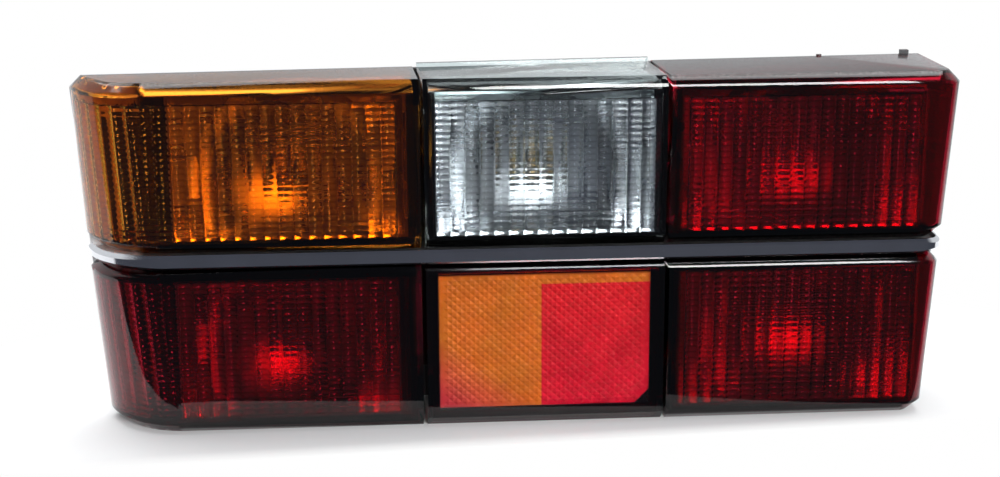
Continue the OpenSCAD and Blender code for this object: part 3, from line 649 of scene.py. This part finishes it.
# Materials of the nodes that are shown as the solids are
CAD_FINISH = {
    "reflex_lens": REFLEX_COVER,
    "trim_strip": STRIP,
    "reflex_backing": HOUSING,
    "housing": HOUSING,
    "bulb_carrier": CARRIER,
    "carrier_seal": FOAM,
    "carrier_knobs": BLACK,
    "connector_shell": BLACK,
    "connector_blades": BRASS,
    "contact_springs": BRASS,
    "upper_contact_strip": BRASS,
    "lower_contact_strip": BRASS,
    "mounting_studs": ZINC,
    "body_gasket": GASKET,
}
for lamp, _, _ in LAMPS:
    CAD_FINISH[lamp + "_tray"] = TRAY
    CAD_FINISH[lamp + "_socket"] = ZINC
for node, material in CAD_FINISH.items():
    dress(nodes[node], material)


# Lenses with pillow optics

LENS_CREASE = 32
MERGE_WITHIN = 0.02 * MM
CAD_MERGE_WITHIN = 0.001 * MM


def arc_radius(chord, rise):
    """Radius of the arc that rises this high over a chord."""
    return (chord**2 / 4 + rise**2) / (2 * rise)


def pillow(width, height):
    """One pillow, lying flat: a flute's arc along X that is carried over a row's arc along Y."""
    deselect()
    bpy.ops.mesh.primitive_plane_add(size=MM)
    cell = bpy.context.object
    edit(cell)
    bpy.ops.mesh.merge(type="CENTER")
    flute_r = arc_radius(width, FLUTE_H)
    row_r = arc_radius(height, ROW_H)
    bpy.ops.transform.translate(value=(-width / 2, -height / 2, PILLOW_LIFT))
    bpy.ops.mesh.spin(steps=PILLOW_COLUMNS, angle=-2 * math.asin(width / 2 / flute_r),
                      center=(0, 0, PILLOW_LIFT + FLUTE_H - flute_r), axis=(0, 1, 0))
    bpy.ops.mesh.select_all(action="SELECT")
    rises = []
    for step in range(PILLOW_ROWS + 1):
        y = height * (step / PILLOW_ROWS - 0.5)
        rises.append(math.sqrt(row_r**2 - y**2))
    for before, after in zip(rises, rises[1:]):
        bpy.ops.mesh.extrude_edges_move(
            TRANSFORM_OT_translate={"value": (0, height / PILLOW_ROWS, after - before)})
    bpy.ops.object.mode_set(mode="OBJECT")
    return cell


def repeat(piece, count, step, merge=True):
    """Joins count copies of a piece, step apart, into one mesh."""
    array = piece.modifiers.new("repeat", "ARRAY")
    array.count = count
    array.use_relative_offset = False
    array.use_constant_offset = True
    array.constant_offset_displace = step
    array.use_merge_vertices = merge
    array.merge_threshold = MERGE_WITHIN


def pillow_sheet(name, columns, rows, width, height):
    """A sheet of pillows with the middle of its lower left pillow at the origin."""
    sheet = pillow(width, height)
    sheet.name = name
    repeat(sheet, columns, (width, 0, 0))
    repeat(sheet, rows, (0, height, 0))
    apply_modifiers(sheet)
    return sheet


def back_with_plate(sheet):
    """Closes a sheet of pillows into a pad with a flat back."""
    edit(sheet)
    bpy.ops.mesh.select_mode(type="EDGE")
    bpy.ops.mesh.select_all(action="DESELECT")
    bpy.ops.mesh.select_non_manifold(extend=False)
    bpy.ops.mesh.extrude_edges_move()
    bpy.ops.transform.resize(value=(1, 1, 0), center_override=(0, 0, -PILLOW_SINK))
    bpy.ops.mesh.edge_face_add()
    bpy.ops.object.mode_set(mode="OBJECT")


def back_with_grid(sheet):
    """Closes a sheet of pillows into a pad whose back has as many faces and can be bent."""
    edit(sheet)
    bpy.ops.mesh.extrude_region_move()
    bpy.ops.transform.resize(value=(1, 1, 0), center_override=(0, 0, -PILLOW_SINK))
    bpy.ops.object.mode_set(mode="OBJECT")


# Stands a flat sheet up, with its back to the face
UPRIGHT = Matrix(((1, 0, 0, 0), (0, 0, 1, 0), (0, 1, 0, 0), (0, 0, 0, 1)))


def face_pad(lit, row, spare=0.0):
    """Pad of pillows over the flutes of a lens's face, longer by spare at both ends."""
    left, columns = flutes_in(lit)
    low, rows, height = rows_in(row)
    pad = pillow_sheet("face_pad", columns, rows, FLUTE_PITCH, height)
    back_with_plate(pad)
    length = columns * FLUTE_PITCH
    stretch = Matrix.Diagonal((1 + 2 * spare / length, 1, 1, 1))
    start = Matrix.Translation(((FLUTE_PITCH - length) / 2, 0, 0))
    middle = Matrix.Translation((left + length / 2, LENS_WALL, low + height / 2))
    pad.data.transform(face_matrix() @ middle @ stretch @ start @ UPRIGHT)
    face_outwards(pad)
    return pad


def corner_pad(row):
    """Pad of pillows that carries the pattern round the outer corner."""
    inner_r = OUTER_CORNER_R - LENS_WALL
    width = inner_r * math.pi / 2 / CORNER_COLUMNS
    low, rows, height = rows_in(row)
    pad = pillow_sheet("corner_pad", CORNER_COLUMNS, rows, width, height)
    back_with_grid(pad)
    middle = (CORNER_COLUMNS - 1) * width / 2
    pad.matrix_world = Matrix.Translation((-middle, 0, height / 2)) @ UPRIGHT
    settle(pad)
    bend = pad.modifiers.new("wrap", "SIMPLE_DEFORM")
    bend.deform_method = "BEND"
    bend.deform_axis = "Z"
    bend.angle = math.pi / 2
    apply_modifiers(pad)
    taller = Matrix.Diagonal((1, 1, 1 + 2 * PAD_SPARE / (rows * height), 1))
    to_axis = Matrix.Translation((0, -inner_r, low - row["top"] - PAD_SPARE)) @ taller
    turn = Matrix.Rotation(-math.pi / 4, 4, "Z")
    at_corner = Matrix.Translation((OUTER_CORNER_R, OUTER_CORNER_R, 0)) @ turn
    lean = Matrix.Identity(4)
    lean[0][2] = -math.tan(row["lean"])
    at_end = face_matrix() @ Matrix.Translation((row["end"], 0, row["top"]))
    pad.data.transform(at_end @ lean @ at_corner @ to_axis)
    face_outwards(pad)
    return pad


def copy_of_node(node, name):
    """A copy of a CAD node with its loose triangles joined up."""
    obj = nodes[node].copy()
    obj.data = nodes[node].data.copy()
    obj.name = name
    obj.parent = None
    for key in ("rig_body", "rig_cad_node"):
        if key in obj:
            del obj[key]
    bpy.context.scene.collection.objects.link(obj)
    edit(obj)
    bpy.ops.mesh.remove_doubles(threshold=CAD_MERGE_WITHIN)
    bpy.ops.object.mode_set(mode="OBJECT")
    return obj


def join_pad(lens, pad):
    """Makes a pad of pillows one with its lens."""
    union = lens.modifiers.new("optics", "BOOLEAN")
    union.operation = "UNION"
    union.solver = "EXACT"
    union.object = pad
    apply_modifiers(lens)
    bpy.data.objects.remove(pad)


def smooth_within(obj, degrees):
    """Smooth curved faces between sharp edges, with the large flat faces kept flat."""
    take(obj)
    bpy.ops.object.shade_smooth_by_angle(angle=math.radians(degrees))
    weights = obj.modifiers.new("flat_faces_stay_flat", "WEIGHTED_NORMAL")
    weights.weight = 90
    weights.keep_sharp = True
    apply_modifiers(obj)


def pillow_lens(node, name, material, pads):
    """A lens whose flutes are crossed by rows, so that each cell of its pattern is a pillow."""
    lens = copy_of_node(node, name)
    for pad in pads:
        join_pad(lens, pad)
    smooth_within(lens, LENS_CREASE)
    dress(lens, material)
    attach(lens, "root")
    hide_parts(node)


pillow_lens("amber_lens", "amber_pillow_lens", AMBER,
            [face_pad(OUTER_LIT, UPPER, PAD_SPARE), corner_pad(UPPER)])
pillow_lens("clear_lens", "clear_pillow_lens", CLEAR, [face_pad(CLEAR_LIT, UPPER)])
pillow_lens("upper_red_lens", "upper_red_pillow_lens", UPPER_RED, [face_pad(INNER_LIT, UPPER)])
pillow_lens("lower_outer_red_lens", "tail_pillow_lens", TAIL_RED,
            [face_pad(OUTER_LIT, LOWER, PAD_SPARE), corner_pad(LOWER)])
pillow_lens("lower_inner_red_lens", "brake_pillow_lens", BRAKE_RED,
            [face_pad(INNER_LIT, LOWER)])


# Reflex reflector with staggered prisms

PRISM_W = 4.4 * MM
PRISM_STEP = 2.0 * MM
PRISM_H = 0.5 * MM
PRISM_TOP = 0.2
PRISM_SINK = 0.05 * MM


def select_where(obj, wanted):
    """Selects the vertices of a mesh whose place is wanted, and opens it in edit mode."""
    edit(obj)
    bpy.ops.mesh.select_all(action="DESELECT")
    bpy.ops.object.mode_set(mode="OBJECT")
    for vertex in obj.data.vertices:
        vertex.select = wanted(vertex.co)
    bpy.ops.object.mode_set(mode="EDIT")


def prism():
    """One low prism with four sloping sides, lying flat with its middle at the origin."""
    deselect()
    bpy.ops.mesh.primitive_cube_add(size=1)
    piece = bpy.context.object
    bpy.ops.transform.resize(value=(PRISM_W / math.sqrt(2), PRISM_W / math.sqrt(2), PRISM_H))
    settle(piece)
    edit(piece)
    bpy.ops.transform.rotate(value=math.pi / 4, orient_axis="Z", center_override=(0, 0, 0))
    bpy.ops.transform.resize(value=(1, 2 * PRISM_STEP / PRISM_W, 1))
    select_where(piece, lambda co: co.z > 0)
    bpy.ops.transform.resize(value=(PRISM_TOP, PRISM_TOP, 1), center_override=(0, 0, 0))
    bpy.ops.mesh.select_all(action="SELECT")
    bpy.ops.transform.translate(value=(0, 0, PRISM_H / 2))
    bpy.ops.object.mode_set(mode="OBJECT")
    return piece


def prism_field(width, height):
    """Two interleaved fields of diamond prisms, so that each row is half a prism off the last."""
    field = prism()
    columns = math.floor((width - PRISM_W / 2) / PRISM_W)
    rows = math.floor((height - PRISM_STEP) / (2 * PRISM_STEP))
    repeat(field, columns, (PRISM_W, 0, 0), merge=False)
    repeat(field, rows, (0, 2 * PRISM_STEP, 0), merge=False)
    apply_modifiers(field)
    edit(field)
    bpy.ops.mesh.duplicate_move(TRANSFORM_OT_translate={"value": (PRISM_W / 2, PRISM_STEP, 0)})
    bpy.ops.mesh.select_all(action="SELECT")
    margin_x = (width - PRISM_W * (columns + 0.5)) / 2
    margin_y = (height - PRISM_STEP * (2 * rows + 1)) / 2
    bpy.ops.transform.translate(value=(margin_x + PRISM_W / 2, margin_y + PRISM_STEP, -PRISM_SINK))
    select_where(field, lambda co: co.x - co.y > width - REFLEX_CUT)
    bpy.ops.mesh.select_linked()
    bpy.ops.mesh.delete(type="VERT")
    bpy.ops.object.mode_set(mode="OBJECT")
    return field


def reflex_plate(width, height):
    """Plate with one cut corner, lying flat with its lower left corner at the origin."""
    deselect()
    bpy.ops.mesh.primitive_cube_add(size=1)
    plate = bpy.context.object
    plate.name = "reflex_prism_plate"
    bpy.ops.transform.resize(value=(width, height, REFLEX_T))
    bpy.ops.transform.translate(value=(width / 2, height / 2, -REFLEX_T / 2))
    settle(plate)
    edit(plate)
    bpy.ops.mesh.bisect(plane_co=(width, REFLEX_CUT, 0), plane_no=(1, -1, 0), use_fill=True, clear_outer=True)
    bpy.ops.object.mode_set(mode="OBJECT")
    return plate


def join(first, *others):
    """Makes several meshes one."""
    take(first)
    for other in others:
        other.select_set(True)
    bpy.ops.object.join()
    return first


def reflex_reflector():
    """Prism plate behind the reflex cover, in place of the plain insert."""
    width, height = REFLEX_X[1] - REFLEX_X[0], REFLEX_Z[1] - REFLEX_Z[0]
    plate = join(reflex_plate(width, height), prism_field(width, height))
    place = face_matrix() @ Matrix.Translation((REFLEX_X[0], REFLEX_FRONT, REFLEX_Z[0]))
    plate.data.transform(place @ Matrix.Rotation(math.pi / 2, 4, "X"))
    face_outwards(plate)
    dress(plate, REFLEX)
    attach(plate, "root")
    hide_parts("reflex_insert")


reflex_reflector()


# Bulbs

GLASS_WALL = 0.6 * MM
NECK_R = CAP_R - 0.6 * MM
TIP_R = 2.4 * MM
CAP_RIM = 1.2 * MM
CAP_STEP = 0.4 * MM
CAP_ROLL = 0.3 * MM
STEM_R = 2.6 * MM
STEM_FRONT = 2 * MM
STEM_PINCH = (1.2, 1, 0.35)
WIRE_R = 0.35 * MM
WIRE_GAP = 3 * MM
WIRE_BACK = 3 * MM
FILAMENT_R = 0.7 * MM
GLASS_CREASE = 40
CAP_CREASE = 30
ALONG_Y = (math.pi / 2, 0, 0)


def rod(radius, y0, y1, x=0.0, segments=16):
    """A cylinder along Y."""
    deselect()
    bpy.ops.mesh.primitive_cylinder_add(vertices=segments, radius=radius, depth=y1 - y0,
                                        location=(x, (y0 + y1) / 2, 0), rotation=ALONG_Y)
    piece = bpy.context.object
    settle(piece)
    return piece


def bulb_envelope():
    """Hollow glass ball whose neck runs into the cap."""
    deselect()
    bpy.ops.mesh.primitive_uv_sphere_add(segments=32, ring_count=20, radius=BULB_R,
                                         location=(0, -BULB_FRONT, 0), rotation=ALONG_Y)
    glass = bpy.context.object
    settle(glass)
    neck_y = -BULB_FRONT + math.sqrt(BULB_R**2 - NECK_R**2)
    edit(glass)
    bpy.ops.mesh.bisect(plane_co=(0, neck_y, 0), plane_no=(0, 1, 0), clear_outer=True)
    bpy.ops.mesh.select_mode(type="EDGE")
    bpy.ops.mesh.select_all(action="DESELECT")
    bpy.ops.mesh.select_non_manifold(extend=False)
    bpy.ops.mesh.extrude_edges_move(TRANSFORM_OT_translate={"value": (0, CAP_FRONT - neck_y, 0)})
    bpy.ops.object.mode_set(mode="OBJECT")
    face_outwards(glass)
    wall = glass.modifiers.new("glass_wall", "SOLIDIFY")
    wall.thickness = GLASS_WALL
    wall.offset = -1
    apply_modifiers(glass)
    smooth_within(glass, GLASS_CREASE)
    return glass


def bulb_cap():
    """Metal cap with rolled edges, a step round its end and a soldered tip."""
    cap = rod(CAP_R, CAP_FRONT, CAP_FRONT + CAP_LEN, segments=40)
    edit(cap)
    bpy.ops.mesh.select_mode(type="FACE")
    bpy.ops.mesh.select_all(action="DESELECT")
    bpy.ops.object.mode_set(mode="OBJECT")
    for face in cap.data.polygons:
        face.select = face.center.y > CAP_FRONT + CAP_LEN - MM and face.normal.y > 0.9
    bpy.ops.object.mode_set(mode="EDIT")
    bpy.ops.mesh.inset(thickness=CAP_RIM)
    bpy.ops.mesh.extrude_region_move(TRANSFORM_OT_translate={"value": (0, -CAP_STEP, 0)})
    bpy.ops.mesh.inset(thickness=CAP_R - CAP_RIM - TIP_R)
    bpy.ops.mesh.extrude_region_move(TRANSFORM_OT_translate={"value": (0, CAP_TIP + CAP_STEP, 0)})
    bpy.ops.object.mode_set(mode="OBJECT")
    rim = cap.modifiers.new("rolled_edges", "BEVEL")
    rim.width = CAP_ROLL
    rim.segments = 2
    apply_modifiers(cap)
    smooth_within(cap, CAP_CREASE)
    return cap


def bulb_filament():
    """Pinched stem, two support wires and the coil between them."""
    stem = rod(STEM_R, STEM_FRONT, CAP_FRONT - 0.2 * MM, segments=20)
    select_where(stem, lambda co: co.y < STEM_FRONT + MM)
    bpy.ops.transform.resize(value=STEM_PINCH, center_override=(0, 0, 0))
    bpy.ops.object.mode_set(mode="OBJECT")
    coil_y = -BULB_FRONT + 2 * MM
    wires = [rod(WIRE_R, coil_y, WIRE_BACK, x, 8) for x in (-WIRE_GAP, WIRE_GAP)]
    coil = rod(FILAMENT_R, -WIRE_GAP, WIRE_GAP, 0, 10)
    edit(coil)
    bpy.ops.transform.rotate(value=math.pi / 2, orient_axis="Z", center_override=(0, 0, 0))
    bpy.ops.transform.translate(value=(0, coil_y, 0))
    bpy.ops.object.mode_set(mode="OBJECT")
    filament = join(stem, coil, *wires)
    smooth_within(filament, GLASS_CREASE)
    return filament


def fit_bulbs():
    """The same bulb behind each lit lens, each copy with its own mesh."""
    models = [("glass", bulb_envelope(), GLASS, "bulb_glass"), ("cap", bulb_cap(), BRASS, "contact_brass"),
              ("filament", bulb_filament(), FILAMENT, "socket_steel")]
    for part, model, material, slot in models:
        for lamp, x, z in LAMPS:
            piece = model.copy()
            piece.data = model.data.copy()
            piece.name = lamp + "_bulb_" + part
            bpy.context.scene.collection.objects.link(piece)
            piece.data.transform(Matrix.Translation((x, 0, z)))
            dress(piece, material)
            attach(piece, "root")
            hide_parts(lamp + "_bulb")
        bpy.data.objects.remove(model)


fit_bulbs()


# Camera, lamps, floor and world

# Bright backdrop behind the cluster, and the room on the camera's side as mirrors and as dull faces see it
BACKDROP = (0.86, 0.88, 0.90)
BACKDROP_EDGE = (-0.12, 0.1)
ROOM = (0.07, 0.075, 0.095)
ROOM_FILL = (0.30, 0.31, 0.33)

FLOOR_FRONT_Y = -75 * MM
FLOOR_FADE = 12 * MM
FLOOR_SIZE = (3.0, 1.6)
FLOOR_COLOUR = (0.9, 0.9, 0.9)
SHADOW_REACH = (0.27, 0.13)
SHADOW_FADE = (0.8, 1.3)

# Softboxes as (name, place, target, width, height, watts)
SOFTBOXES = [
    ("key", (0.18, -0.92, 0.25), (0, -0.05, 0), 0.45, 0.34, 10),
    ("overhead", (0.0, 0.5, 1.1), (0, 0.5, 0), 1.8, 1.1, 18),
]


def add_camera():
    """Puts the camera where the photograph was taken from."""
    forward = Vector((math.sin(CAMERA_YAW) * math.cos(CAMERA_PITCH),
                      math.cos(CAMERA_YAW) * math.cos(CAMERA_PITCH),
                      -math.sin(CAMERA_PITCH)))
    right = Vector((math.cos(CAMERA_YAW), -math.sin(CAMERA_YAW), 0))
    up = right.cross(forward)
    across = math.cos(CAMERA_ROLL) * right + math.sin(CAMERA_ROLL) * up
    upward = -math.sin(CAMERA_ROLL) * right + math.cos(CAMERA_ROLL) * up
    deselect()
    bpy.ops.object.camera_add()
    camera = bpy.context.object
    turn = Matrix((across, upward, -forward)).transposed().to_4x4()
    camera.matrix_world = Matrix.Translation(CAMERA_AT) @ turn
    camera.data.sensor_width = 36
    camera.data.lens = CAMERA_LENS
    camera.data.shift_x, camera.data.shift_y = CAMERA_SHIFT
    camera.data.clip_start = 0.01
    bpy.context.scene.camera = camera


def add_softbox(name, at, towards, width, height, watts):
    """A plain rectangular studio light that points from one place to another."""
    light = bpy.data.lights.new(name, "AREA")
    light.shape = "RECTANGLE"
    light.size, light.size_y = width, height
    light.energy = watts
    obj = bpy.data.objects.new(name, light)
    obj.location = at
    obj.rotation_euler = (Vector(towards) - Vector(at)).to_track_quat("-Z", "Y").to_euler()
    bpy.context.scene.collection.objects.link(obj)


def white_for_camera(tree, surface, factor):
    """Shows plain white to the camera where factor is 1, and surface elsewhere."""
    white = tree.nodes.new("ShaderNodeEmission")
    white.inputs["Color"].default_value = (1, 1, 1, 1)
    seen = maths(tree, "MULTIPLY", tree.nodes.new("ShaderNodeLightPath").outputs["Is Camera Ray"], factor)
    mix = tree.nodes.new("ShaderNodeMixShader")
    tree.links.new(seen, mix.inputs["Fac"])
    tree.links.new(surface, mix.inputs[1])
    tree.links.new(white.outputs["Emission"], mix.inputs[2])
    return mix.outputs["Shader"]


def add_floor():
    """A pale sheet under the cluster that keeps its shadow and fades to white round it."""
    deselect()
    width, depth = FLOOR_SIZE
    bpy.ops.mesh.primitive_plane_add(size=1, location=(0, FLOOR_FRONT_Y + depth / 2, cad_box[0].z))
    floor = bpy.context.object
    floor.name = "floor"
    bpy.ops.transform.resize(value=(width, depth, 1))
    settle(floor)
    material, tree, shader = new_material("pale_floor")
    set_inputs(tree, shader, {"Base Color": FLOOR_COLOUR, "Roughness": 0.9})
    reach = tree.nodes.new("ShaderNodeMapping")
    reach.vector_type = "TEXTURE"
    reach.inputs["Scale"].default_value = (*SHADOW_REACH, 1)
    feed(tree, reach.inputs["Vector"], object_coords(tree))
    level = axes_of(tree, reach.outputs["Vector"])
    distance = length_of(tree, level["X"], level["Y"])
    front_y = axes_of(tree, object_coords(tree))["Y"]
    front = spread(tree, front_y, FLOOR_FRONT_Y + FLOOR_FADE, FLOOR_FRONT_Y)
    fade = maths(tree, "MAXIMUM", front, spread(tree, distance, *SHADOW_FADE))
    surface = white_for_camera(tree, shader.outputs["BSDF"], fade)
    tree.links.new(surface, tree.nodes["Material Output"].inputs["Surface"])
    dress(floor, material)


def set_world():
    """White for the camera, with a bright backdrop behind the cluster and a dim room before it."""
    world = bpy.data.worlds.new("studio")
    bpy.context.scene.world = world
    world.use_nodes = True
    tree = world.node_tree
    direction = axes_of(tree, tree.nodes.new("ShaderNodeTexCoord").outputs["Generated"])
    behind = spread(tree, direction["Y"], *BACKDROP_EDGE)
    sharp = tree.nodes.new("ShaderNodeLightPath").outputs
    seen_sharp = maths(tree, "MAXIMUM", sharp["Is Glossy Ray"], sharp["Is Transmission Ray"])
    room = blend_colours(tree, seen_sharp, ROOM_FILL, ROOM)
    around = blend_colours(tree, behind, room, BACKDROP)
    shade = tree.nodes["Background"]
    tree.links.new(around, shade.inputs["Color"])
    tree.links.new(white_for_camera(tree, shade.outputs["Background"], 1.0),
                   tree.nodes["World Output"].inputs["Surface"])


add_camera()
for softbox in SOFTBOXES:
    add_softbox(*softbox)
set_world()
add_floor()
bpy.context.scene.view_settings.view_transform = "Standard"
